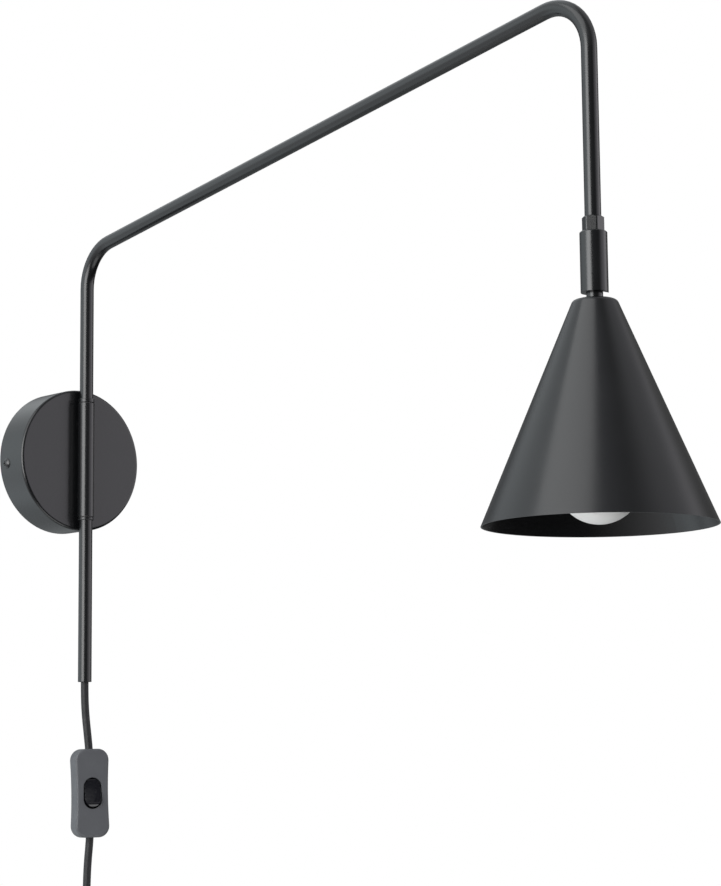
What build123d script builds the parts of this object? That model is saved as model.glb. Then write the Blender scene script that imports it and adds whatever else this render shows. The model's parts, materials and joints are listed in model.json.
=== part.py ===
"""Swing arm wall sconce: canopy, hinged tube arm, swivel joint, cone shade, cord with switch and plug.

Millimetres. The origin is the centre of the canopy's back, on the wall plane Y = 0.
The lamp stands out from the wall toward -Y, +X is to the right seen from the room, +Z is up.
"""

import math
import os

from build123d import *

# Wall fixing and canopy
CANOPY_R = 55.0
CANOPY_DEPTH = 30.0
CANOPY_WALL = 1.2
CANOPY_EDGE_R = 2.2
BRACKET_HALF_LENGTH = 52.0
BRACKET_WIDTH = 24.0
BRACKET_THICK = 2.0
WALL_HOLE_SPACING = 70.0
WALL_HOLE_R = 2.25
BRACKET_TURN = -4.9
EAR_THICK = 1.5
EAR_DEPTH = 16.0
EAR_HALF_WIDTH = 6.5
SIDE_SCREW_Y = -9.0
SIDE_SCREW_HEAD_R = 4.0
SIDE_SCREW_HEAD_HEIGHT = 2.2
SIDE_SCREW_DOME_R = 5.0
SIDE_SCREW_SHANK_R = 1.65
SIDE_SCREW_LENGTH = 8.0
M4_R = 2.0
M4_CLEARANCE_R = 2.2

# Hinge sleeve on the canopy, and the arm's foot that turns in it
ARM_AXIS_Y = -36.5
TUBE_R = 5.2
TUBE_WALL = 1.2
SLEEVE_R = 6.4
COLLAR_R = 6.2
RUNNING_GAP = 0.06
SLEEVE_TOP = 43.7
SLEEVE_BOTTOM = -44.8
THRUST_WASHER = 0.6
THRUST_WASHER_R = 5.6
SUPPORT_COLLAR = 3.1
RETAINING_RING = 2.1
STUD_HEIGHT = 28.0
STUD_END_Y = -21.0
WELD_PAD_R = 3.5
WELD_PAD_Y = -33.0
WASHER_R = 4.5
WASHER_THICK = 0.8
SLEEVE_NUT_FLATS = 7.0
SLEEVE_NUT_HEIGHT = 3.2

# Arm
ARM_FOOT_Z = -172.0
LOW_CORNER_Z = 163.2
HIGH_CORNER_Z = 241.1
HEAD_AXIS_Y = -573.0
BEND_R = 33.0
ARM_END_Z = 88.0
GROMMET_LENGTH = 10.0
INNER_WIRE_R = 2.5
NUT_TOP = 95.0
NUT_BOTTOM = 85.6
NUT_FLATS = 12.4
NUT_TURN = 2.6
NUT_CHAMFER = 1.0
NUT_CORNER_R = 1.2

# Swivel housing with its ball joint
HOUSING_R = 8.65
HOUSING_BORE_R = 6.5
HOUSING_TOP = 85.3
HOUSING_ROOF = 3.0
HOUSING_BOTTOM = 47.0
NIPPLE_R = 4.0
NIPPLE_BORE_R = 2.9
NIPPLE_BOTTOM = 72.0
NIPPLE_REACH = 6.0
NIPPLE_NUT_FLATS = 10.0
NIPPLE_NUT_HEIGHT = 3.5
LOWER_WASHER_THICK = 0.5
PIVOT_Z = 53.6
BALL_R = 6.2
SLOT_HALF_WIDTH = 5.6
CUP_BOTTOM = 59.0
CUP_TOP = 62.6
SPRING_R = 5.2
SPRING_WIRE_R = 0.5
SPRING_TURNS = 5

# Stem and shade
STEM_R = 5.2
STEM_THREAD_R = 4.0
STEM_BOTTOM = 24.0
WIRE_BORE_R = 2.8
SHADE_TOP = 42.5
SHADE_RIM_Z = -97.2
SHADE_RIM_R = 72.8
SHADE_TOP_R = 13.7
SHADE_SHOULDER_R = 3.6
SHADE_WALL = 1.0

# Lampholder and bulb, E27
HOLDER_R = 19.5
HOLDER_WALL = 2.0
HOLDER_TOP = 37.0
HOLDER_SEAM = 18.0
HOLDER_RIM = -24.0
SCREW_SHELL_R = 13.7
BULB_CAP_R = 13.0
BULB_CAP_TOP = -1.0
BULB_NECK_Z = -26.0
BULB_GLOBE_R = 26.8
BULB_GLOBE_Z = -69.8
GLASS_WALL = 0.8

# Cord and its switch
CORD_R = 3.0
SWITCH_X = 3.25
SWITCH_Y = -39.3
SWITCH_Z = -256.4
SWITCH_YAW = -17.0
SWITCH_LEAN = -1.0
SWITCH_HALF_HEIGHT = 33.4
SWITCH_HALF_WIDTH = 13.45
SWITCH_WAIST = 0.7
SWITCH_CORNER_R = 8.5
SWITCH_HALF_DEPTH = 7.5
SWITCH_WALL = 1.8
SWITCH_EDGE_R = 2.1
SWITCH_CORD_GAP = 0.6
SWITCH_SCREWS = [(9.0, 22.0), (-9.0, -22.0)]
ROCKER_HALF_WIDTH = 6.3
ROCKER_HALF_HEIGHT = 10.9
ROCKER_GAP = 0.9
ROCKER_PROUD = 0.6
ROCKER_END_MARGIN = 0.3
ROCKER_LOW_END_R = 3.6
ROCKER_HIGH_END_R = 2.0
ROCKER_BACK_Y = -2.6
ROCKER_PIN_R = 1.2
ROCKER_PIVOT_DEPTH = 4.2
ROCKER_TILT = 10.0

# Coil of spare cord, hung under the switch, and the plug
COIL_X = -3.6
COIL_Y = -26.0
COIL_Z = -383.0
COIL_INNER_R = 26.6
COIL_OUTER_R = 39.6
COIL_HALF_THICK = 15.9
TIE_WIDTH = 12.0
TIE_THICK = 1.2
PLUG_X = -1.8
PLUG_Y = -33.0
PLUG_TOP = -457.8
RELIEF_LENGTH = 25.0
PLUG_LENGTH = 36.0
PLUG_HALF_WIDTH = 17.6
PLUG_HALF_DEPTH = 6.9
PIN_SPACING = 18.6
PIN_R = 2.0
PIN_CORE_R = 1.3
PIN_LENGTH = 19.0
PIN_SLEEVE_LENGTH = 10.0
PIN_SLEEVE_R = 1.7

# The cord's route, from the arm's foot to the switch, from the switch to the coil, and on to the plug
CORD_TO_SWITCH = [
    (0.0, -36.5, -172.0),
    (0.0, -36.5, -183.5),
    (0.55, -37.2, -198.0),
    (1.75, -38.4, -213.0),
    (2.85, -39.3, -227.2),
]
CORD_TO_COIL = [
    (3.75, -39.35, -285.7),
    (3.3, -39.2, -295.0),
    (2.4, -38.8, -306.0),
    (1.8, -38.5, -318.5),
    (1.6, -38.4, -333.0),
    (-6.6, -38.4, -349.0),
    (-21.2, -38.4, -358.7),
]
CORD_TO_PLUG = [
    (-24.8, -34.1, -412.2),
    (-10.2, -34.0, -422.8),
    (-1.8, -33.0, -439.3),
    (-1.8, -33.0, -457.8),
]


def cylinder_z(radius, low, high, x=0.0, y=0.0):
    return Pos(x, y, (low + high) / 2) * Cylinder(radius, high - low)


def ring_z(outer, inner, low, high, x=0.0, y=0.0):
    return cylinder_z(outer, low, high, x, y) - cylinder_z(inner, low, high, x, y)


def cylinder_y(radius, low, high, x=0.0, z=0.0):
    return Pos(x, (low + high) / 2, z) * Rot(90, 0, 0) * Cylinder(radius, high - low)


def cylinder_x(radius, low, high, y=0.0, z=0.0):
    return Pos((low + high) / 2, y, z) * Rot(0, 90, 0) * Cylinder(radius, high - low)


def block(x_low, x_high, y_low, y_high, z_low, z_high):
    centre = Pos((x_low + x_high) / 2, (y_low + y_high) / 2, (z_low + z_high) / 2)
    return centre * Box(x_high - x_low, y_high - y_low, z_high - z_low)


def turned(points, x=0.0, y=0.0):
    """A solid turned about a vertical axis from a closed outline of (radius, height) points."""
    outline = Polyline(*[(radius, 0, height) for radius, height in points], close=True)
    return Pos(x, y, 0) * revolve(make_face(outline), Axis.Z)


def hexagon_z(flats, low, high, x=0.0, y=0.0):
    sketch = RegularPolygon(flats / 2 / math.cos(math.pi / 6), 6)
    return Pos(x, y, low) * extrude(sketch, high - low)


def save(name, shape):
    export_step(shape, f"parts/{name}.step")


# Wall bracket, canopy and hinge sleeve


def bracket_turned(shape):
    """The bracket, its screws and their holes sit turned about the canopy's axis."""
    return Rot(0, BRACKET_TURN, 0) * shape


def wall_bracket():
    reach = BRACKET_HALF_LENGTH
    plate = block(-reach, reach, -BRACKET_THICK, 0, -BRACKET_WIDTH / 2, BRACKET_WIDTH / 2)
    plate = fillet(plate.edges().filter_by(Axis.Y), 3.0)
    for side in (-1, 1):
        low, high = sorted((side * (reach - EAR_THICK), side * reach))
        plate += block(low, high, -EAR_DEPTH, -1.0, -EAR_HALF_WIDTH, EAR_HALF_WIDTH)
        plate -= cylinder_y(WALL_HOLE_R, -BRACKET_THICK - 1, 1, x=side * WALL_HOLE_SPACING / 2)
        plate -= cylinder_x(SIDE_SCREW_SHANK_R + 0.05, low - 1, high + 1, y=SIDE_SCREW_Y)
    return bracket_turned(plate)


def canopy_cover():
    cup = cylinder_y(CANOPY_R, -CANOPY_DEPTH, 0)
    front_edge = cup.edges().filter_by(GeomType.CIRCLE).sort_by(Axis.Y)[0]
    cup = fillet(front_edge, CANOPY_EDGE_R)
    cup -= cylinder_y(CANOPY_R - CANOPY_WALL, -CANOPY_DEPTH + CANOPY_WALL, 1)
    for side in (-1, 1):
        cup -= cylinder_y(M4_CLEARANCE_R, -CANOPY_DEPTH - 1, 0, z=side * STUD_HEIGHT)
    return cup - bracket_turned(cylinder_x(M4_CLEARANCE_R, -CANOPY_R - 1, CANOPY_R + 1, y=SIDE_SCREW_Y))


def side_screw(side):
    """A domed M4 screw with a cross recess, through the canopy's side into the bracket's ear."""
    slot_floor = SIDE_SCREW_HEAD_HEIGHT - 1.1
    slot_reach = SIDE_SCREW_HEAD_R / 2
    slot_half = 0.4
    head = cylinder_x(SIDE_SCREW_HEAD_R, 0, SIDE_SCREW_HEAD_HEIGHT)
    head &= Pos(SIDE_SCREW_HEAD_HEIGHT - SIDE_SCREW_DOME_R, 0, 0) * Sphere(SIDE_SCREW_DOME_R)
    head -= block(slot_floor, SIDE_SCREW_DOME_R, -slot_reach, slot_reach, -slot_half, slot_half)
    head -= block(slot_floor, SIDE_SCREW_DOME_R, -slot_half, slot_half, -slot_reach, slot_reach)
    screw = head + cylinder_x(SIDE_SCREW_SHANK_R, -SIDE_SCREW_LENGTH, 0.5)
    screw = Pos(CANOPY_R, SIDE_SCREW_Y, 0) * screw
    return bracket_turned(screw if side > 0 else mirror(screw, Plane.YZ))


def hinge_sleeve():
    """The sleeve, with two weld pads and the studs that hold it to the canopy's face."""
    sleeve = cylinder_z(SLEEVE_R, SLEEVE_BOTTOM, SLEEVE_TOP, y=ARM_AXIS_Y)
    for side in (-1, 1):
        sleeve += cylinder_y(WELD_PAD_R, WELD_PAD_Y, -CANOPY_DEPTH, z=side * STUD_HEIGHT)
        sleeve += cylinder_y(M4_R, WELD_PAD_Y, STUD_END_Y, z=side * STUD_HEIGHT)
    sleeve -= cylinder_z(TUBE_R + RUNNING_GAP, SLEEVE_BOTTOM - 1, SLEEVE_TOP + 1, y=ARM_AXIS_Y)
    return sleeve


def sleeve_washer(side):
    inside_face = -CANOPY_DEPTH + CANOPY_WALL
    washer = cylinder_y(WASHER_R, inside_face, inside_face + WASHER_THICK, z=side * STUD_HEIGHT)
    return washer - cylinder_y(M4_CLEARANCE_R, -30, -20, z=side * STUD_HEIGHT)


def sleeve_nut(side):
    base = -CANOPY_DEPTH + CANOPY_WALL + WASHER_THICK
    nut = Rot(90, 0, 0) * hexagon_z(SLEEVE_NUT_FLATS, -SLEEVE_NUT_HEIGHT, 0)
    nut = Pos(0, base, side * STUD_HEIGHT) * nut
    return nut - cylinder_y(M4_R + 0.05, -30, -20, z=side * STUD_HEIGHT)


def thrust_washer(low):
    return ring_z(THRUST_WASHER_R, TUBE_R + RUNNING_GAP, low, low + THRUST_WASHER, y=ARM_AXIS_Y)


# Arm


def arm_path(low, high):
    corners = [
        (0, ARM_AXIS_Y, low),
        (0, ARM_AXIS_Y, LOW_CORNER_Z),
        (0, HEAD_AXIS_Y, HIGH_CORNER_Z),
        (0, HEAD_AXIS_Y, high),
    ]
    return FilletPolyline(*corners, radius=BEND_R)


def pipe(path, radius):
    return sweep(Plane(origin=path @ 0, z_dir=path % 0) * Circle(radius), path=path)


def arm_tube():
    path = arm_path(ARM_FOOT_Z, ARM_END_Z)
    return pipe(path, TUBE_R) - pipe(path, TUBE_R - TUBE_WALL)


def arm_collar(low, height):
    collar = ring_z(COLLAR_R, TUBE_R, low, low + height, y=ARM_AXIS_Y)
    outer_edges = [edge for edge in collar.edges().filter_by(GeomType.CIRCLE) if edge.radius > TUBE_R + 0.1]
    return chamfer(outer_edges, 0.3)


def cord_grommet():
    return ring_z(TUBE_R - TUBE_WALL, CORD_R, ARM_FOOT_Z, ARM_FOOT_Z + GROMMET_LENGTH, y=ARM_AXIS_Y)


def arm_wiring():
    """The cord's own inner length: in the grommet at its full size, then thinner up to the ball joint."""
    lead = cylinder_z(CORD_R, ARM_FOOT_Z, ARM_FOOT_Z + GROMMET_LENGTH + 2, y=ARM_AXIS_Y)
    return lead + pipe(arm_path(ARM_FOOT_Z + GROMMET_LENGTH, NIPPLE_BOTTOM + 1), INNER_WIRE_R)


def arm_end_nut():
    """The hexagon nut at the arm's end, chamfered on top, bored for the tube above and the nipple below."""
    corner_r = NUT_FLATS / 2 / math.cos(math.pi / 6)
    crown = [
        (0, NUT_BOTTOM),
        (corner_r, NUT_BOTTOM),
        (corner_r, NUT_TOP - NUT_CHAMFER),
        (corner_r - 1.5 * NUT_CHAMFER, NUT_TOP),
        (0, NUT_TOP),
    ]
    nut = hexagon_z(NUT_FLATS, NUT_BOTTOM, NUT_TOP)
    nut = Rot(0, 0, NUT_TURN) * fillet(nut.edges().filter_by(Axis.Z), NUT_CORNER_R)
    nut &= turned(crown)
    nut -= cylinder_z(TUBE_R, ARM_END_Z, NUT_TOP + 1)
    nut -= cylinder_z(NIPPLE_R, NUT_BOTTOM - 1, ARM_END_Z)
    return Pos(0, HEAD_AXIS_Y, 0) * nut


def swivel_nipple():
    return ring_z(NIPPLE_R, NIPPLE_BORE_R, NIPPLE_BOTTOM, ARM_END_Z + NIPPLE_REACH, y=HEAD_AXIS_Y)


def nipple_nut():
    top = HOUSING_TOP - HOUSING_ROOF - LOWER_WASHER_THICK
    nut = hexagon_z(NIPPLE_NUT_FLATS, top - NIPPLE_NUT_HEIGHT, top, y=HEAD_AXIS_Y)
    return nut - cylinder_z(NIPPLE_R, NIPPLE_BOTTOM, NUT_BOTTOM, y=HEAD_AXIS_Y)


# Swivel housing


def swivel_housing():
    body = cylinder_z(HOUSING_R, HOUSING_BOTTOM, HOUSING_TOP, y=HEAD_AXIS_Y)
    body = chamfer(body.edges().group_by(Axis.Z)[-1], 0.6)
    body -= cylinder_z(HOUSING_BORE_R, PIVOT_Z, HOUSING_TOP - HOUSING_ROOF, y=HEAD_AXIS_Y)
    body -= Pos(0, HEAD_AXIS_Y, PIVOT_Z) * Sphere(HOUSING_BORE_R)
    body -= cylinder_z(NIPPLE_R + RUNNING_GAP, HOUSING_TOP - HOUSING_ROOF - 1, HOUSING_TOP + 1, y=HEAD_AXIS_Y)
    body -= cylinder_z(SLOT_HALF_WIDTH, HOUSING_BOTTOM - 1, PIVOT_Z, y=HEAD_AXIS_Y)
    body -= cylinder_x(SLOT_HALF_WIDTH, 0, HOUSING_R + 1, y=HEAD_AXIS_Y, z=PIVOT_Z)
    slot_low = HEAD_AXIS_Y - SLOT_HALF_WIDTH
    slot_high = HEAD_AXIS_Y + SLOT_HALF_WIDTH
    body -= block(0, HOUSING_R + 1, slot_low, slot_high, HOUSING_BOTTOM - 1, PIVOT_Z)
    return body


def swivel_washer(low, high, outer):
    return ring_z(outer, NIPPLE_R + RUNNING_GAP, low, high, y=HEAD_AXIS_Y)


def friction_cup():
    cup = ring_z(BALL_R, WIRE_BORE_R + 0.2, CUP_BOTTOM, CUP_TOP, y=HEAD_AXIS_Y)
    return cup - Pos(0, HEAD_AXIS_Y, PIVOT_Z) * Sphere(HOUSING_BORE_R)


def friction_spring():
    low = CUP_TOP + SPRING_WIRE_R
    high = HOUSING_TOP - HOUSING_ROOF - LOWER_WASHER_THICK - NIPPLE_NUT_HEIGHT - 2 * SPRING_WIRE_R
    coil = Helix(pitch=(high - low) / SPRING_TURNS, height=high - low, radius=SPRING_R)
    start = Plane(origin=coil @ 0, z_dir=coil % 0)
    wire = sweep(start * Circle(SPRING_WIRE_R), path=coil, is_frenet=True)
    return Pos(0, HEAD_AXIS_Y, low) * wire


# Shade, stem and lampholder


def ball_stem():
    stem = Pos(0, HEAD_AXIS_Y, PIVOT_Z) * Sphere(BALL_R)
    stem += cylinder_z(STEM_R, SHADE_TOP, PIVOT_Z, y=HEAD_AXIS_Y)
    stem += cylinder_z(STEM_THREAD_R, STEM_BOTTOM, SHADE_TOP, y=HEAD_AXIS_Y)
    return stem - cylinder_z(WIRE_BORE_R, STEM_BOTTOM - 1, PIVOT_Z + BALL_R + 1, y=HEAD_AXIS_Y)


def shade():
    """A spun cone with a flat top, a rounded shoulder and a hole for the stem's thread."""
    slope = (SHADE_RIM_R - SHADE_TOP_R) / (SHADE_TOP - SHADE_RIM_Z)
    wall_across = SHADE_WALL * math.sqrt(1 + slope**2)
    hole_r = STEM_THREAD_R + 0.2
    inner_top = SHADE_TOP - SHADE_WALL
    inner_top_r = SHADE_TOP_R + slope * SHADE_WALL - wall_across
    outline = Polyline(
        (hole_r, 0, SHADE_TOP),
        (SHADE_TOP_R, 0, SHADE_TOP),
        (SHADE_RIM_R, 0, SHADE_RIM_Z),
        (SHADE_RIM_R - wall_across, 0, SHADE_RIM_Z),
        (inner_top_r, 0, inner_top),
        (hole_r, 0, inner_top),
        close=True,
    )
    cone = revolve(make_face(outline), Axis.Z)
    circles = cone.edges().filter_by(GeomType.CIRCLE)
    outer_shoulder = [edge for edge in circles if abs(edge.radius - SHADE_TOP_R) < 0.01]
    cone = fillet(outer_shoulder, SHADE_SHOULDER_R)
    circles = cone.edges().filter_by(GeomType.CIRCLE)
    inner_shoulder = [edge for edge in circles if abs(edge.radius - inner_top_r) < 0.01]
    cone = fillet(inner_shoulder, SHADE_SHOULDER_R - SHADE_WALL)
    return Pos(0, HEAD_AXIS_Y, 0) * cone


def shade_washer():
    top = SHADE_TOP - SHADE_WALL
    return ring_z(8.0, STEM_THREAD_R + 0.1, top - 1.0, top, y=HEAD_AXIS_Y)


def shade_nut():
    top = SHADE_TOP - SHADE_WALL - 1.0
    nut = hexagon_z(13.0, HOLDER_TOP, top, y=HEAD_AXIS_Y)
    return nut - cylinder_z(STEM_THREAD_R + 0.05, 30, 50, y=HEAD_AXIS_Y)


def holder_cap():
    top_r = 10.5
    bore = STEM_THREAD_R + 0.05
    return turned(
        [
            (bore, HOLDER_TOP),
            (top_r, HOLDER_TOP),
            (HOLDER_R, HOLDER_SEAM + 5.0),
            (HOLDER_R, HOLDER_SEAM),
            (HOLDER_R - HOLDER_WALL, HOLDER_SEAM),
            (HOLDER_R - HOLDER_WALL, HOLDER_SEAM + 4.2),
            (top_r - 1.2, HOLDER_TOP - 2.5),
            (bore, HOLDER_TOP - 2.5),
        ],
        y=HEAD_AXIS_Y,
    )


def holder_body():
    skirt_r = 17.0
    return turned(
        [
            (HOLDER_R, HOLDER_SEAM),
            (HOLDER_R, -6.0),
            (skirt_r, -9.0),
            (skirt_r, HOLDER_RIM),
            (skirt_r - HOLDER_WALL, HOLDER_RIM),
            (skirt_r - HOLDER_WALL, -8.2),
            (HOLDER_R - HOLDER_WALL, -5.2),
            (HOLDER_R - HOLDER_WALL, HOLDER_SEAM),
        ],
        y=HEAD_AXIS_Y,
    )


def contact_block():
    disc = cylinder_z(HOLDER_R - HOLDER_WALL, 6.0, 14.0, y=HEAD_AXIS_Y)
    for side in (-1, 1):
        disc -= cylinder_z(1.0, 5.0, 15.0, x=side * 1.3, y=HEAD_AXIS_Y)
    return disc


def screw_shell():
    flange = ring_z(15.0, SCREW_SHELL_R - 0.5, 5.2, 6.0, y=HEAD_AXIS_Y)
    return flange + ring_z(SCREW_SHELL_R, SCREW_SHELL_R - 0.5, HOLDER_RIM + 2.0, 6.0, y=HEAD_AXIS_Y)


def centre_contact():
    """A sprung brass tongue that presses on the bulb's tip."""
    root = block(-9.0, -3.4, -3.0, 3.0, 5.2, 6.0)
    riser = block(-4.2, -3.4, -3.0, 3.0, 0.2, 6.0)
    tongue = block(-4.2, 4.0, -3.0, 3.0, 0.2, 1.0)
    return Pos(0, HEAD_AXIS_Y, 0) * (root + riser + tongue)


def head_wire(side):
    return cylinder_z(0.9, 9.0, PIVOT_Z + BALL_R - 0.5, x=side * 1.3, y=HEAD_AXIS_Y)


def bulb_cap():
    """The E27 screw cap: a thin shell with a rolled thread, closed above by its shoulder."""
    turns = 5
    pitch = 3.6
    thread_top = BULB_CAP_TOP - 3.0
    outline = [(4.6, BULB_CAP_TOP), (8.0, BULB_CAP_TOP), (11.8, thread_top)]
    for turn in range(turns):
        high = thread_top - turn * pitch
        outline.append((12.2, high - 0.6))
        outline.append((BULB_CAP_R, high - 1.8))
        outline.append((12.2, high - 3.0))
    outline += [(12.6, BULB_NECK_Z + 2.0), (12.6, BULB_NECK_Z), (11.4, BULB_NECK_Z)]
    outline += [(11.4, thread_top), (4.6, thread_top)]
    return turned(outline, y=HEAD_AXIS_Y)


def bulb_contact():
    root = BULB_CAP_TOP - 2.0
    return turned([(0, 0.1), (3.0, 0.1), (4.5, BULB_CAP_TOP), (4.5, root), (0, root)], y=HEAD_AXIS_Y)


def bulb_glass():
    """A frosted globe that narrows through a waist into the cap, as a thin shell open at the neck."""

    def envelope(globe_r, neck_r):
        blend_z = BULB_GLOBE_Z + globe_r * math.cos(math.radians(38))
        blend_r = globe_r * math.sin(math.radians(38))
        side = math.radians(80)
        globe = ThreePointArc(
            (0, 0, BULB_GLOBE_Z - globe_r),
            (globe_r * math.sin(side), 0, BULB_GLOBE_Z - globe_r * math.cos(side)),
            (blend_r, 0, blend_z),
        )
        shoulder = Spline(
            (blend_r, 0, blend_z),
            (neck_r, 0, BULB_NECK_Z),
            tangents=[(-math.cos(math.radians(38)), 0, math.sin(math.radians(38))), (0, 0, 1)],
        )
        top = Line((neck_r, 0, BULB_NECK_Z), (0, 0, BULB_NECK_Z))
        axis = Line((0, 0, BULB_NECK_Z), (0, 0, BULB_GLOBE_Z - globe_r))
        return revolve(make_face([globe, shoulder, top, axis]), Axis.Z)

    outside = envelope(BULB_GLOBE_R, 12.4)
    inside = envelope(BULB_GLOBE_R - GLASS_WALL, 12.4 - GLASS_WALL)
    return Pos(0, HEAD_AXIS_Y, 0) * (outside - inside)


# Cord and switch


def corner_radii(points):
    """Each arc's radius: 0.45 of its shorter run, divided by the tangent of half the turn."""
    radii = []
    for before, corner, after in zip(points, points[1:], points[2:]):
        run_in = Vector(*corner) - Vector(*before)
        run_out = Vector(*after) - Vector(*corner)
        half_turn = math.radians(run_in.get_angle(run_out)) / 2
        radii.append(0.45 * min(run_in.length, run_out.length) / math.tan(half_turn))
    return radii


def cord_tube(name, points):
    radii = corner_radii(points)
    path = FilletPolyline(*points, radius=radii)
    tube = pipe(path, CORD_R)
    expected = math.pi * CORD_R**2 * path.length
    print(name, "radii", [round(radius) for radius in radii], "length", round(path.length, 1))
    print(name, "volume", round(tube.volume), "of", round(expected))
    return tube


def in_switch(shape):
    """Moves a shape from the switch's own frame, front toward -Y, to where the switch hangs."""
    return Pos(SWITCH_X, SWITCH_Y, SWITCH_Z) * Rot(0, 0, SWITCH_YAW) * Rot(0, SWITCH_LEAN, 0) * shape


def switch_outline(inset):
    half_width = SWITCH_HALF_WIDTH - inset
    half_height = SWITCH_HALF_HEIGHT - inset
    outline = RectangleRounded(2 * half_width, 2 * half_height, SWITCH_CORNER_R - inset)
    chord = 24.0
    waist_r = (chord**2 + SWITCH_WAIST**2) / (2 * SWITCH_WAIST)
    for side in (-1, 1):
        outline -= Pos(side * (half_width - SWITCH_WAIST + waist_r), 0) * Circle(waist_r)
    return outline


def switch_slab(inset, front, back):
    """A slab with the switch's outline between two depths, front toward -Y."""
    return Pos(0, back, 0) * Rot(90, 0, 0) * extrude(switch_outline(inset), back - front)


def switch_shell(front_half):
    """One half of the switch: the front with the rocker's opening, or the back with its screw holes."""
    outside = -SWITCH_HALF_DEPTH if front_half else SWITCH_HALF_DEPTH
    slab = switch_slab(0, min(outside, 0), max(outside, 0))
    faces = slab.faces().sort_by(Axis.Y)
    rim = (faces[0] if front_half else faces[-1]).edges()
    slab = fillet(rim, SWITCH_EDGE_R)
    inner_wall = outside + SWITCH_WALL if front_half else outside - SWITCH_WALL
    slab -= switch_slab(SWITCH_WALL, min(inner_wall, 0), max(inner_wall, 0))
    slab -= cylinder_z(CORD_R + SWITCH_CORD_GAP, -SWITCH_HALF_HEIGHT - 1, SWITCH_HALF_HEIGHT + 1)
    return slab


def stadium(half_width, half_height, front, back):
    sketch = SlotOverall(2 * half_height, 2 * half_width, rotation=90)
    return Pos(0, back, 0) * Rot(90, 0, 0) * extrude(sketch, back - front)


def switch_front():
    shell = switch_shell(True)
    wall_back = -SWITCH_HALF_DEPTH + SWITCH_WALL
    hole = (ROCKER_HALF_WIDTH + ROCKER_GAP, ROCKER_HALF_HEIGHT + ROCKER_GAP)
    shell -= stadium(*hole, -SWITCH_HALF_DEPTH - 1, wall_back + 0.1)
    for side in (-1, 1):
        ear_x = side * 8.2
        shell += block(ear_x - 0.8, ear_x + 0.8, wall_back - 0.2, -2.4, -2.5, 2.5)
    shell -= cylinder_x(ROCKER_PIN_R + RUNNING_GAP, -9.5, 9.5, y=-ROCKER_PIVOT_DEPTH)
    for x, z in SWITCH_SCREWS:
        shell += cylinder_y(2.4, wall_back - 0.2, 0, x=x, z=z)
        shell -= cylinder_y(1.0, wall_back + 0.6, 1, x=x, z=z)
    return in_switch(shell)


def switch_back():
    shell = switch_shell(False)
    wall_front = SWITCH_HALF_DEPTH - SWITCH_WALL
    for x, z in SWITCH_SCREWS:
        shell += cylinder_y(3.2, 0, wall_front + 0.2, x=x, z=z)
        shell -= cylinder_y(1.4, -1, SWITCH_HALF_DEPTH + 1, x=x, z=z)
        shell -= cylinder_y(2.5, SWITCH_HALF_DEPTH - 2.6, SWITCH_HALF_DEPTH + 1, x=x, z=z)
    return in_switch(shell)


def switch_screw(x, z):
    head_back = SWITCH_HALF_DEPTH - 0.6
    screw = cylinder_y(2.3, head_back - 1.6, head_back, x=x, z=z)
    screw -= block(x - 2.0, x + 2.0, head_back - 0.7, head_back + 1, z - 0.3, z + 0.3)
    screw += cylinder_y(0.95, -4.5, head_back - 1.0, x=x, z=z)
    return in_switch(screw)


def switch_terminal(side):
    box = block(-3.2, 3.2, 0.5, 5.0, side * 14.0 - 3.0, side * 14.0 + 3.0)
    box -= cylinder_z(0.8, -30, 30, x=1.6, y=2.7)
    box -= cylinder_z(0.8, -30, 30, x=-1.6, y=2.7)
    return in_switch(box)


def switch_blade():
    strip = block(-2.0, 2.0, 4.9, 5.4, -8.0, 8.0)
    return in_switch(strip + cylinder_x(0.9, -2.0, 2.0, y=4.8, z=6.0))


def switch_rocker():
    """A smooth pad on pins in the front shell: pressed in at its top, its rounded lower end stands out."""
    front = -SWITCH_HALF_DEPTH - ROCKER_PROUD
    reach = ROCKER_HALF_WIDTH + 1
    half_height = ROCKER_HALF_HEIGHT + ROCKER_END_MARGIN
    side_view = block(-reach, reach, front, 0, -half_height, half_height)
    front_ends = side_view.edges().filter_by(Axis.X).group_by(Axis.Y)[0].sort_by(Axis.Z)
    side_view = fillet(front_ends[0], ROCKER_LOW_END_R)
    front_ends = side_view.edges().filter_by(Axis.X).group_by(Axis.Y)[0].sort_by(Axis.Z)
    side_view = fillet(front_ends[-1], ROCKER_HIGH_END_R)
    body = stadium(ROCKER_HALF_WIDTH, ROCKER_HALF_HEIGHT, front, ROCKER_BACK_Y) & side_view
    body += cylinder_x(ROCKER_PIN_R, -8.8, 8.8, y=-ROCKER_PIVOT_DEPTH)
    body = Pos(0, -ROCKER_PIVOT_DEPTH, 0) * Rot(-ROCKER_TILT, 0, 0) * Pos(0, ROCKER_PIVOT_DEPTH, 0) * body
    return in_switch(body)


# Coil, ties and plug


def coil_ring(spread):
    """A ring about the coil's axis, along Y, with a rounded section."""
    half_width = (COIL_OUTER_R - COIL_INNER_R) / 2 + spread
    middle = (COIL_OUTER_R + COIL_INNER_R) / 2
    sketch = Pos(middle, 0) * RectangleRounded(2 * half_width, 2 * (COIL_HALF_THICK + spread), 3.0 + spread)
    return Pos(COIL_X, COIL_Y, COIL_Z) * revolve(sketch, Axis.Y)


def coil_tie(side):
    band = coil_ring(TIE_THICK) - coil_ring(0)
    reach = COIL_OUTER_R + 5
    start = COIL_X if side > 0 else COIL_X - reach
    half = TIE_WIDTH / 2
    return band & block(start, start + reach, COIL_Y - 30, COIL_Y + 30, COIL_Z - half, COIL_Z + half)


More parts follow.
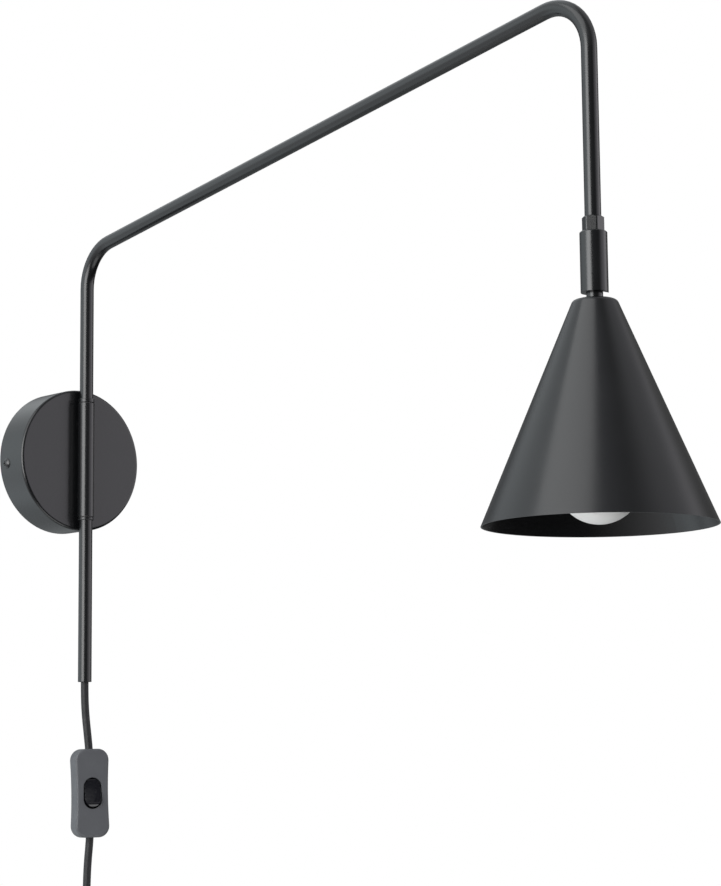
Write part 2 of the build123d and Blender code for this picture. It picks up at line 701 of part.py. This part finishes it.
def plug_relief():
    """A moulded taper from the plug to the cord, with grooves that let it bend."""
    bottom = PLUG_TOP - RELIEF_LENGTH
    relief = turned([(0, PLUG_TOP), (3.8, PLUG_TOP), (5.4, bottom), (0, bottom)], x=PLUG_X, y=PLUG_Y)
    for step in range(5):
        groove = PLUG_TOP - 3.5 - step * 4.0
        core = 2.9 + 0.25 * step
        relief -= ring_z(8.0, core, groove - 1.2, groove, x=PLUG_X, y=PLUG_Y)
    return relief


def plug_body():
    """A flat two-pin plug: a body that swells from the cord to its flat face, with the pins' sleeves."""
    top = PLUG_TOP - RELIEF_LENGTH
    face = top - PLUG_LENGTH

    def section(z, half_width, half_depth, corner):
        return Plane(origin=(PLUG_X, PLUG_Y, z)) * RectangleRounded(2 * half_width, 2 * half_depth, corner)

    throat = section(top, 7.0, 5.6, 5.0)
    neck = section(top - 12.0, 10.0, 6.4, 5.6)
    shoulder = section(face + 12.0, 16.2, 6.9, 6.2)
    mouth = section(face, PLUG_HALF_WIDTH, PLUG_HALF_DEPTH, 6.4)
    body = loft([throat, neck, shoulder]) + loft([shoulder, mouth])
    for side in (-1, 1):
        pin_x = PLUG_X + side * PIN_SPACING / 2
        body += cylinder_z(PIN_SLEEVE_R, face - PIN_SLEEVE_LENGTH, face + 1, x=pin_x, y=PLUG_Y)
        body -= cylinder_z(PIN_CORE_R, face - PIN_LENGTH, face + 8, x=pin_x, y=PLUG_Y)
    return body


def plug_pin(side):
    face = PLUG_TOP - RELIEF_LENGTH - PLUG_LENGTH
    pin_x = PLUG_X + side * PIN_SPACING / 2
    pin = cylinder_z(PIN_R, face - PIN_LENGTH, face - PIN_SLEEVE_LENGTH, x=pin_x, y=PLUG_Y)
    pin = fillet(pin.edges().group_by(Axis.Z)[0], 1.2)
    return pin + cylinder_z(PIN_CORE_R, face - PIN_SLEEVE_LENGTH - 1, face + 8, x=pin_x, y=PLUG_Y)


def build_wall_mount():
    save("wall_bracket", wall_bracket())
    save("canopy_cover", canopy_cover())
    save("canopy_side_screws", Compound([side_screw(-1), side_screw(1)]))
    save("hinge_sleeve", hinge_sleeve())
    save("sleeve_washers", Compound([sleeve_washer(-1), sleeve_washer(1)]))
    save("sleeve_nuts", Compound([sleeve_nut(-1), sleeve_nut(1)]))
    low_washer = thrust_washer(SLEEVE_BOTTOM - THRUST_WASHER)
    save("sleeve_thrust_washers", Compound([low_washer, thrust_washer(SLEEVE_TOP)]))


def build_arm():
    save("arm_tube", arm_tube())
    save("arm_support_collar", arm_collar(SLEEVE_TOP + THRUST_WASHER, SUPPORT_COLLAR))
    save("arm_retaining_ring", arm_collar(SLEEVE_BOTTOM - THRUST_WASHER - RETAINING_RING, RETAINING_RING))
    save("cord_grommet", cord_grommet())
    save("arm_wiring", arm_wiring())
    save("arm_end_nut", arm_end_nut())
    save("swivel_nipple", swivel_nipple())
    save("nipple_lock_nut", nipple_nut())


def build_swivel():
    save("swivel_housing", swivel_housing())
    upper = swivel_washer(HOUSING_TOP, NUT_BOTTOM, 5.8)
    lower = swivel_washer(82.2, HOUSING_TOP - HOUSING_ROOF, 6.2)
    save("swivel_washers", Compound([upper, lower]))
    save("friction_cup", friction_cup())
    save("friction_spring", friction_spring())


def build_shade_head():
    save("ball_stem", ball_stem())
    save("shade", shade())
    save("shade_washer", shade_washer())
    save("shade_lock_nut", shade_nut())
    save("lampholder_cap", holder_cap())
    save("lampholder_body", holder_body())
    save("lampholder_contact_block", contact_block())
    save("lampholder_screw_shell", screw_shell())
    save("lampholder_centre_contact", centre_contact())
    save("head_wires", Compound([head_wire(-1), head_wire(1)]))
    save("bulb_cap", bulb_cap())
    save("bulb_contact", bulb_contact())
    save("bulb_glass", bulb_glass())


def build_cord():
    save("cord_to_switch", cord_tube("cord_to_switch", CORD_TO_SWITCH))
    save("cord_to_coil", cord_tube("cord_to_coil", CORD_TO_COIL))
    save("cord_coil", coil_ring(0))
    save("cord_to_plug", cord_tube("cord_to_plug", CORD_TO_PLUG))
    save("coil_ties", Compound([coil_tie(-1), coil_tie(1)]))
    save("switch_front_shell", switch_front())
    save("switch_back_shell", switch_back())
    save("switch_screws", Compound([switch_screw(x, z) for x, z in SWITCH_SCREWS]))
    save("switch_terminals", Compound([switch_terminal(-1), switch_terminal(1)]))
    save("switch_contact_blade", switch_blade())
    save("switch_rocker", switch_rocker())
    save("plug_strain_relief", plug_relief())
    save("plug_body", plug_body())
    save("plug_pins", Compound([plug_pin(-1), plug_pin(1)]))


os.makedirs("parts", exist_ok=True)
build_wall_mount()
build_arm()
build_swivel()
build_shade_head()
build_cord()
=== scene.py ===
"""The looks of a swing arm wall sconce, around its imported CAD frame.

Metres. The wall plane is Y = 0, the lamp stands out toward -Y, +Z is up.
"""

import json
import math

import bpy
from mathutils import Matrix, Vector


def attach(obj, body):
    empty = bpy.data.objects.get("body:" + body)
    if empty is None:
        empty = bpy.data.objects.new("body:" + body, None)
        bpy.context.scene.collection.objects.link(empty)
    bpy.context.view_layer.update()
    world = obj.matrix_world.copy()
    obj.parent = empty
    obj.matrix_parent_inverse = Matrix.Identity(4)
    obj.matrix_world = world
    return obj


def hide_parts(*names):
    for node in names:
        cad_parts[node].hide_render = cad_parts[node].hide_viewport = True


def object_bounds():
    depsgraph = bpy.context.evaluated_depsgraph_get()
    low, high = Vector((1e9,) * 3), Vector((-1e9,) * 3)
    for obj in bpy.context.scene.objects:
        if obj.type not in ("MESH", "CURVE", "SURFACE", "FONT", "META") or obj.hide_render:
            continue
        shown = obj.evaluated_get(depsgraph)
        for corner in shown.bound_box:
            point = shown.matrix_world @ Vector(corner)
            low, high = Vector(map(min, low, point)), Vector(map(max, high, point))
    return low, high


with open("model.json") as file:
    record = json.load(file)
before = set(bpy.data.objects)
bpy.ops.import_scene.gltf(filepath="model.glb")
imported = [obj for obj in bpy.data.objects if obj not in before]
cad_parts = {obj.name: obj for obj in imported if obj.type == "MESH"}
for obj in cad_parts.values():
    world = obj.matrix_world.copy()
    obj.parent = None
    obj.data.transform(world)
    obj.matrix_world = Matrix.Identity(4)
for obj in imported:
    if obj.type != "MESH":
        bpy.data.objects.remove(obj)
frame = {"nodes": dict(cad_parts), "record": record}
cad_low, cad_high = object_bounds()
nodes = frame["nodes"]
scene = bpy.context.scene

MM = 0.001

# Camera: a long lens, left of the lamp and a little below it, looking slightly up
CAMERA_PLACE = Vector((-1.0927, -1.5726, -0.2523))
CAMERA_YAW = 0.7316
CAMERA_PITCH = 0.1396
CAMERA_ROLL = -0.0095
CAMERA_LENS_MM = 98.92
SENSOR_MM = 36.0

# Cord
CORD_DIAMETER = 0.006
CORD_PITCH = 6.2
COIL_CENTRE = (-3.6, -26.0, -383.0)
COIL_INNER_R = 30.0
COIL_OUTER_R = 36.3
COIL_FRONT = -12.4
INNER_TURNS = 4.0
OUTER_TURNS = 3.3
TURN_POINTS = 16
JOIN_ANGLE = 126.0
LAYER_CHANGE_TURNS = 0.35

# The cord's route in millimetres, as in the CAD source. The switch lies between the first two lists.
CORD_TO_SWITCH = [
    (0.0, -36.5, -172.0),
    (0.0, -36.5, -183.5),
    (0.55, -37.2, -198.0),
    (1.75, -38.4, -213.0),
    (2.85, -39.3, -227.2),
]
CORD_TO_COIL = [
    (3.75, -39.35, -285.7),
    (3.3, -39.2, -295.0),
    (2.4, -38.8, -306.0),
    (1.8, -38.5, -318.5),
    (1.6, -38.4, -333.0),
    (-6.6, -38.4, -349.0),
    (-21.2, -38.4, -358.7),
]
CORD_TO_PLUG = [
    (-24.8, -34.1, -412.2),
    (-10.2, -34.0, -422.8),
    (-1.8, -33.0, -439.3),
    (-1.8, -33.0, -457.8),
]


# The studio round the lamp: tones by compass degrees from +X toward +Y, below the horizon, near it and above
ROOM_STRENGTH = 3.0
ROOM_BELOW = [
    (0, (0.01, 0.01, 0.01)),
    (76, (0.15, 0.16, 0.165)),
    (99, (0.24, 0.26, 0.27)),
    (113, (0.42, 0.46, 0.48)),
    (152, (0.28, 0.28, 0.285)),
    (195, (0.08, 0.08, 0.08)),
    (228, (0.02, 0.02, 0.02)),
    (260, (0.01, 0.01, 0.01)),
    (360, (0.01, 0.01, 0.01)),
]
ROOM_LOW = [
    (0, (0.05, 0.05, 0.05)),
    (40, (0.04, 0.04, 0.04)),
    (76, (0.055, 0.058, 0.06)),
    (100, (0.20, 0.215, 0.225)),
    (122, (0.41, 0.45, 0.465)),
    (154, (0.58, 0.62, 0.64)),
    (180, (0.58, 0.62, 0.64)),
    (192, (0.04, 0.04, 0.04)),
    (268, (0.04, 0.04, 0.04)),
    (292, (0.43, 0.42, 0.45)),
    (312, (0.52, 0.51, 0.54)),
    (326, (0.80, 0.78, 0.82)),
    (340, (0.60, 0.58, 0.61)),
    (350, (0.12, 0.12, 0.12)),
    (360, (0.05, 0.05, 0.05)),
]
ROOM_HIGH = [
    (0, (0.15, 0.15, 0.15)),
    (40, (0.21, 0.22, 0.23)),
    (79, (0.39, 0.41, 0.42)),
    (105, (0.33, 0.35, 0.36)),
    (150, (0.36, 0.38, 0.39)),
    (200, (0.28, 0.29, 0.30)),
    (230, (0.15, 0.15, 0.16)),
    (268, (0.08, 0.08, 0.08)),
    (300, (0.24, 0.24, 0.25)),
    (345, (0.22, 0.22, 0.23)),
    (360, (0.15, 0.15, 0.15)),
]
BELOW_FROM = -0.06
BELOW_FULL = -0.2
HIGH_FROM = 0.34
HIGH_FULL = 0.57
FLOOR_CENTRE = (0.0, -0.3)
FLOOR_HALF = 0.45
FLOOR_DROP = 0.15
FILL_DROP = 0.14


# Camera and light


def add_camera():
    forward = Vector((
        math.sin(CAMERA_YAW) * math.cos(CAMERA_PITCH),
        math.cos(CAMERA_YAW) * math.cos(CAMERA_PITCH),
        math.sin(CAMERA_PITCH),
    ))
    level = Vector((math.cos(CAMERA_YAW), -math.sin(CAMERA_YAW), 0))
    upright = level.cross(forward)
    right = math.cos(CAMERA_ROLL) * level + math.sin(CAMERA_ROLL) * upright
    up = -math.sin(CAMERA_ROLL) * level + math.cos(CAMERA_ROLL) * upright
    data = bpy.data.cameras.new("camera")
    data.lens = CAMERA_LENS_MM
    data.sensor_width = SENSOR_MM
    camera = bpy.data.objects.new("camera", data)
    scene.collection.objects.link(camera)
    turn = Matrix((right, up, -forward)).transposed().to_4x4()
    camera.matrix_world = Matrix.Translation(CAMERA_PLACE) @ turn
    scene.camera = camera


def add_softbox(name, place, target, size, power, spread=180.0):
    data = bpy.data.lights.new(name, "AREA")
    data.shape = "RECTANGLE"
    data.size, data.size_y = size
    data.energy = power
    data.spread = math.radians(spread)
    light = bpy.data.objects.new(name, data)
    scene.collection.objects.link(light)
    light.location = place
    light.rotation_euler = (Vector(target) - Vector(place)).to_track_quat("-Z", "Y").to_euler()
    light.visible_camera = False


def add_lights():
    add_softbox("left_softbox", (-1.44, -0.5, 0.15), (0, 0.1, 0.0), (1.1, 1.5), 13.5, spread=120.0)
    add_softbox("high_left_softbox", (-1.2, -0.5, 1.5), (0, -0.45, 0.05), (1.7, 1.1), 9.5)
    under = cad_low.z - FILL_DROP
    add_softbox("low_fill", (0, -0.45, under), (0, -0.45, 0.0), (0.6, 0.6), 1.25)


def add_ramp(tree, factor, stops):
    """A colour ramp through (position, colour) stops, with positions from 0 to 1."""
    ramp = tree.nodes.new("ShaderNodeValToRGB")
    elements = ramp.color_ramp.elements
    while len(elements) < len(stops):
        elements.new(0.5)
    for element, (position, colour) in zip(elements, stops):
        element.position = position
        element.color = (*colour, 1)
    tree.links.new(factor, ramp.inputs["Fac"])
    return ramp.outputs["Color"]


def negative(tree, value):
    minus = tree.nodes.new("ShaderNodeMath")
    minus.operation = "MULTIPLY"
    minus.inputs[1].default_value = -1
    tree.links.new(value, minus.inputs[0])
    return minus.outputs[0]


def add_range(tree, value, start, end):
    """A factor that runs from 0 to 1 as the value goes from start to end."""
    spread = tree.nodes.new("ShaderNodeMapRange")
    spread.inputs["From Min"].default_value = start
    spread.inputs["From Max"].default_value = end
    tree.links.new(value, spread.inputs["Value"])
    return spread.outputs["Result"]


def blend(tree, factor, start, end):
    mix = tree.nodes.new("ShaderNodeMix")
    mix.data_type = "RGBA"
    tree.links.new(factor, mix.inputs["Factor"])
    tree.links.new(start, mix.inputs["A"])
    tree.links.new(end, mix.inputs["B"])
    return mix.outputs["Result"]


def add_world():
    """White for the camera; all else sees a studio whose walls differ by compass direction and by height."""
    world = bpy.data.worlds.new("studio")
    scene.world = world
    world.use_nodes = True
    tree = world.node_tree
    tree.nodes.clear()
    new = tree.nodes.new
    link = tree.links.new

    split = new("ShaderNodeSeparateXYZ")
    link(new("ShaderNodeTexCoord").outputs["Generated"], split.inputs[0])
    compass = new("ShaderNodeMath")
    compass.operation = "ARCTAN2"
    link(negative(tree, split.outputs["Y"]), compass.inputs[0])
    link(negative(tree, split.outputs["X"]), compass.inputs[1])
    turn = add_range(tree, compass.outputs[0], -math.pi, math.pi)
    walls = [
        add_ramp(tree, turn, [(degrees / 360, tone) for degrees, tone in tones])
        for tones in (ROOM_BELOW, ROOM_LOW, ROOM_HIGH)
    ]
    upper = blend(tree, add_range(tree, split.outputs["Z"], HIGH_FROM, HIGH_FULL), walls[1], walls[2])
    tones = blend(tree, add_range(tree, split.outputs["Z"], BELOW_FULL, BELOW_FROM), walls[0], upper)

    out = new("ShaderNodeOutputWorld")
    mix = new("ShaderNodeMixShader")
    room = new("ShaderNodeBackground")
    room.inputs["Strength"].default_value = ROOM_STRENGTH
    link(tones, room.inputs["Color"])
    white = new("ShaderNodeBackground")
    white.inputs["Color"].default_value = (1, 1, 1, 1)
    link(new("ShaderNodeLightPath").outputs["Is Camera Ray"], mix.inputs[0])
    link(room.outputs[0], mix.inputs[1])
    link(white.outputs[0], mix.inputs[2])
    link(mix.outputs[0], out.inputs[0])
    scene.view_settings.view_transform = "Standard"


def add_floor():
    x, y = FLOOR_CENTRE
    height = cad_low.z - FLOOR_DROP
    sides = [(-1, -1), (1, -1), (1, 1), (-1, 1)]
    corners = [(x + across * FLOOR_HALF, y + along * FLOOR_HALF, height) for across, along in sides]
    mesh = bpy.data.meshes.new("floor")
    mesh.from_pydata(corners, [], [(0, 1, 2, 3)])
    floor = bpy.data.objects.new("floor", mesh)
    scene.collection.objects.link(floor)
    mesh.materials.append(floor_paint())


# Materials


class Paint:
    """A Principled material with helpers for its procedural colour, roughness and bump, in object space."""

    def __init__(self, name, colour, roughness, metallic=0.0):
        self.material = bpy.data.materials.new(name)
        self.material.use_nodes = True
        self.tree = self.material.node_tree
        self.shader = self.tree.nodes["Principled BSDF"]
        self.set("Base Color", (*colour, 1))
        self.set("Roughness", roughness)
        self.set("Metallic", metallic)
        self.space = self.tree.nodes.new("ShaderNodeTexCoord").outputs["Object"]
        self.normal = None

    def set(self, socket, value):
        self.shader.inputs[socket].default_value = value

    def node(self, kind, **inputs):
        node = self.tree.nodes.new("ShaderNode" + kind)
        for name, value in inputs.items():
            node.inputs[name.replace("_", " ")].default_value = value
        return node

    def link(self, output, target):
        self.tree.links.new(output, target)

    def noise(self, size, detail=3.0, stretch=(1, 1, 1)):
        """Noise whose features are about size metres across."""
        mapping = self.node("Mapping", Scale=stretch)
        self.link(self.space, mapping.inputs["Vector"])
        noise = self.node("TexNoise", Scale=1 / size, Detail=detail)
        self.link(mapping.outputs[0], noise.inputs["Vector"])
        return noise.outputs["Fac"]

    def span(self, value, low, high, from_low=0.3, from_high=0.7):
        """Maps a factor to a range."""
        spread = self.node("MapRange")
        limits = {"From Min": from_low, "From Max": from_high, "To Min": low, "To Max": high}
        for socket, number in limits.items():
            spread.inputs[socket].default_value = number
        self.link(value, spread.inputs["Value"])
        return spread.outputs["Result"]

    def vary_roughness(self, value, low, high):
        self.link(self.span(value, low, high), self.shader.inputs["Roughness"])

    def mix_colour(self, factor, other, low=0.0, high=1.0):
        """Blends from the colour so far to another one by a factor."""
        mix = self.tree.nodes.new("ShaderNodeMix")
        mix.data_type = "RGBA"
        socket = self.shader.inputs["Base Color"]
        if socket.links:
            self.link(socket.links[0].from_socket, mix.inputs["A"])
        else:
            mix.inputs["A"].default_value = socket.default_value
        mix.inputs["B"].default_value = (*other, 1)
        self.link(self.span(factor, low, high), mix.inputs["Factor"])
        self.link(mix.outputs["Result"], socket)

    def bump(self, height, depth):
        """Adds relief of about depth metres."""
        bump = self.node("Bump", Strength=1.0, Distance=depth)
        self.link(height, bump.inputs["Height"])
        if self.normal is not None:
            self.link(self.normal, bump.inputs["Normal"])
        self.normal = bump.outputs["Normal"]
        self.link(self.normal, self.shader.inputs["Normal"])

    def soften_edges(self, radius):
        """Rounds hard edges a little in the shading, and gives a mask of where they are."""
        bevel = self.tree.nodes.new("ShaderNodeBevel")
        bevel.samples = 4
        bevel.inputs["Radius"].default_value = radius
        geometry = self.tree.nodes.new("ShaderNodeNewGeometry")
        turn = self.tree.nodes.new("ShaderNodeVectorMath")
        turn.operation = "DOT_PRODUCT"
        self.link(bevel.outputs[0], turn.inputs[0])
        self.link(geometry.outputs["Normal"], turn.inputs[1])
        self.normal = bevel.outputs[0]
        self.link(self.normal, self.shader.inputs["Normal"])
        return self.span(turn.outputs["Value"], 1.0, 0.0, 0.80, 0.995)


def floor_paint():
    paint = Paint("floor_pale", (0.62, 0.62, 0.61), 0.7)
    paint.vary_roughness(paint.noise(0.2), 0.65, 0.75)
    return paint.material


def powder_coat():
    """Satin black powder coat: a fine orange peel, cloudy gloss, and a painted highlight on hard edges."""
    paint = Paint("powder_coat_black", (0.0042, 0.0046, 0.0052), 0.25)
    painted_edge_mask = paint.soften_edges(0.35 * MM)
    paint.mix_colour(paint.noise(0.06, 4), (0.0062, 0.0065, 0.0071))
    # Paler on hard edges: a painted highlight.
    paint.mix_colour(painted_edge_mask, (0.03, 0.031, 0.033), 0.0, 0.5)
    paint.vary_roughness(paint.noise(0.03, 5), 0.22, 0.26)
    paint.bump(paint.noise(1.1 * MM, 2), 0.0035 * MM)
    paint.bump(paint.noise(0.35 * MM, 1), 0.001 * MM)
    return paint.material


def black_screw():
    paint = Paint("screw_black", (0.010, 0.010, 0.011), 0.24)
    painted_edge_mask = paint.soften_edges(0.2 * MM)
    # Lighter on hard edges: a painted highlight.
    paint.mix_colour(painted_edge_mask, (0.12, 0.12, 0.12), 0.0, 0.6)
    paint.vary_roughness(paint.noise(2 * MM), 0.18, 0.30)
    return paint.material


def zinc_steel():
    """Bright zinc plate with a faint yellow-blue cloudiness and drawn scratches."""
    paint = Paint("zinc_plate", (0.58, 0.58, 0.56), 0.34, metallic=1.0)
    paint.mix_colour(paint.noise(6 * MM, 4), (0.50, 0.53, 0.58))
    paint.vary_roughness(paint.noise(1.5 * MM, 4, (1, 8, 8)), 0.26, 0.46)
    paint.bump(paint.noise(0.5 * MM, 2, (1, 10, 10)), 0.01 * MM)
    return paint.material


def nylon():
    paint = Paint("nylon_black", (0.03, 0.03, 0.03), 0.5)
    paint.vary_roughness(paint.noise(1 * MM), 0.42, 0.58)
    paint.bump(paint.noise(0.3 * MM), 0.01 * MM)
    return paint.material


def cord_jacket():
    """Soft black jacket: matt, with a faint bloom and the shallow lengthwise waviness of an extrusion."""
    paint = Paint("cord_jacket_black", (0.010, 0.010, 0.011), 0.55)
    paint.set("Specular IOR Level", 0.3)
    paint.mix_colour(paint.noise(9 * MM, 3), (0.017, 0.017, 0.018))
    paint.vary_roughness(paint.noise(4 * MM, 3), 0.48, 0.60)
    paint.bump(paint.noise(2.2 * MM, 2, (1, 1, 0.25)), 0.05 * MM)
    paint.bump(paint.noise(0.25 * MM, 1), 0.008 * MM)
    return paint.material


def woven_strap():
    paint = Paint("tie_weave_black", (0.02, 0.02, 0.021), 0.8)
    paint.set("Sheen Weight", 0.3)
    weave = paint.node("TexWave", Scale=900.0, Distortion=0.6)
    paint.link(paint.space, weave.inputs["Vector"])
    paint.mix_colour(weave.outputs["Fac"], (0.045, 0.045, 0.048))
    paint.bump(weave.outputs["Fac"], 0.12 * MM)
    return paint.material


def switch_plastic():
    """Moulded black plastic with a fine spark-eroded texture."""
    paint = Paint("switch_plastic_black", (0.073, 0.075, 0.081), 0.36)
    paint.set("Specular IOR Level", 0.22)
    painted_edge_mask = paint.soften_edges(0.6 * MM)
    # Darker on hard edges: a painted dark reflection along the rounded edges.
    paint.mix_colour(painted_edge_mask, (0.03, 0.03, 0.033), 0.0, 0.5)
    paint.mix_colour(paint.noise(14 * MM, 3), (0.079, 0.082, 0.088))
    paint.vary_roughness(paint.noise(5 * MM, 3), 0.33, 0.41)
    paint.bump(paint.noise(0.4 * MM, 2), 0.015 * MM)
    return paint.material


def rocker_plastic():
    paint = Paint("rocker_gloss_black", (0.006, 0.006, 0.008), 0.08)
    paint.set("Coat Weight", 0.4)
    paint.soften_edges(0.25 * MM)
    paint.vary_roughness(paint.noise(3 * MM, 4), 0.06, 0.11)
    paint.bump(paint.noise(4 * MM, 2), 0.004 * MM)
    return paint.material


def plug_plastic():
    paint = Paint("plug_plastic_black", (0.022, 0.022, 0.024), 0.42)
    paint.soften_edges(0.4 * MM)
    paint.vary_roughness(paint.noise(6 * MM, 3), 0.36, 0.50)
    paint.bump(paint.noise(0.5 * MM, 2), 0.02 * MM)
    return paint.material


def brass():
    paint = Paint("brass_bright", (0.72, 0.53, 0.25), 0.25, metallic=1.0)
    paint.mix_colour(paint.noise(5 * MM, 4), (0.62, 0.44, 0.2))
    paint.vary_roughness(paint.noise(1.2 * MM, 3, (6, 6, 1)), 0.18, 0.34)
    paint.bump(paint.noise(0.6 * MM, 2, (6, 6, 1)), 0.008 * MM)
    return paint.material


def holder_plastic():
    paint = Paint("holder_plastic_black", (0.016, 0.016, 0.016), 0.3)
    paint.soften_edges(0.3 * MM)
    paint.vary_roughness(paint.noise(8 * MM, 3), 0.24, 0.38)
    paint.bump(paint.noise(1.2 * MM, 2), 0.015 * MM)
    return paint.material


def wire_insulation():
    paint = Paint("wire_insulation", (0.28, 0.13, 0.05), 0.35)
    paint.vary_roughness(paint.noise(1 * MM), 0.3, 0.45)
    return paint.material


def bulb_cap_metal():
    paint = Paint("bulb_cap_nickel", (0.72, 0.71, 0.68), 0.22, metallic=1.0)
    paint.vary_roughness(paint.noise(2 * MM, 3), 0.18, 0.32)
    paint.mix_colour(paint.noise(7 * MM, 3), (0.6, 0.58, 0.54))
    return paint.material


def frosted_glass():
    """A white bulb: the frosting scatters light and the glass outside keeps a soft gloss."""
    paint = Paint("bulb_frosted_white", (0.80, 0.80, 0.78), 0.38)
    paint.set("Subsurface Weight", 0.3)
    paint.set("Subsurface Radius", (0.006, 0.006, 0.006))
    paint.mix_colour(paint.noise(12 * MM, 3), (0.74, 0.74, 0.73))
    paint.vary_roughness(paint.noise(3 * MM, 3), 0.32, 0.44)
    paint.bump(paint.noise(0.4 * MM, 1), 0.008 * MM)
    return paint.material


def paint_nodes():
    makers = {
        "black_metal": powder_coat,
        "black_screw": black_screw,
        "zinc_steel": zinc_steel,
        "nylon": nylon,
        "cord_jacket": cord_jacket,
        "tie_strap": woven_strap,
        "switch_plastic": switch_plastic,
        "rocker_plastic": rocker_plastic,
        "plug_plastic": plug_plastic,
        "brass": brass,
        "holder_plastic": holder_plastic,
        "wire_insulation": wire_insulation,
        "bulb_cap_metal": bulb_cap_metal,
        "bulb_frosted_glass": frosted_glass,
    }
    made = {slot: make() for slot, make in makers.items()}
    for part in frame["record"]["subparts"]:
        mesh = nodes[part["node"]].data
        mesh.materials.clear()
        mesh.materials.append(made[part["material_slot"]])
    return made


# Cord


def coil_points():
    """Two layers of turns: the inner one winds from front to back, the outer one comes back over it."""
    x, y, z = COIL_CENTRE
    points = []
    total = INNER_TURNS + OUTER_TURNS
    steps = round(total * TURN_POINTS)
    for step in range(1, steps + 1):
        turn = total * step / steps
        angle = math.radians(JOIN_ANGLE + 360 * turn)
        climb = min(max((turn - INNER_TURNS) / LAYER_CHANGE_TURNS + 1, 0), 1)
        radius = COIL_INNER_R + (COIL_OUTER_R - COIL_INNER_R) * climb
        depth = COIL_FRONT + CORD_PITCH * (turn if turn < INNER_TURNS else 2 * INNER_TURNS - turn)
        points.append((x + radius * math.cos(angle), y + depth, z + radius * math.sin(angle)))
    return points


def add_cord(jacket):
    route = CORD_TO_SWITCH + CORD_TO_COIL + coil_points()[:-1] + CORD_TO_PLUG
    curve = bpy.data.curves.new("cord", "CURVE")
    curve.dimensions = "3D"
    spline = curve.splines.new("NURBS")
    spline.points.add(len(route) - 1)
    for point, place in zip(spline.points, route):
        point.co = (*(MM * value for value in place), 1)
    spline.order_u = 3
    spline.use_endpoint_u = True
    spline.resolution_u = 6
    curve.bevel_depth = CORD_DIAMETER / 2
    curve.bevel_resolution = 5
    curve.use_fill_caps = True
    curve.materials.append(jacket)
    cord = bpy.data.objects.new("cord", curve)
    scene.collection.objects.link(cord)
    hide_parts("cord_to_switch", "cord_to_coil", "cord_coil", "cord_to_plug")
    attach(cord, "wall_mount")


add_camera()
materials = paint_nodes()
add_cord(materials["cord_jacket"])
add_lights()
add_world()
add_floor()
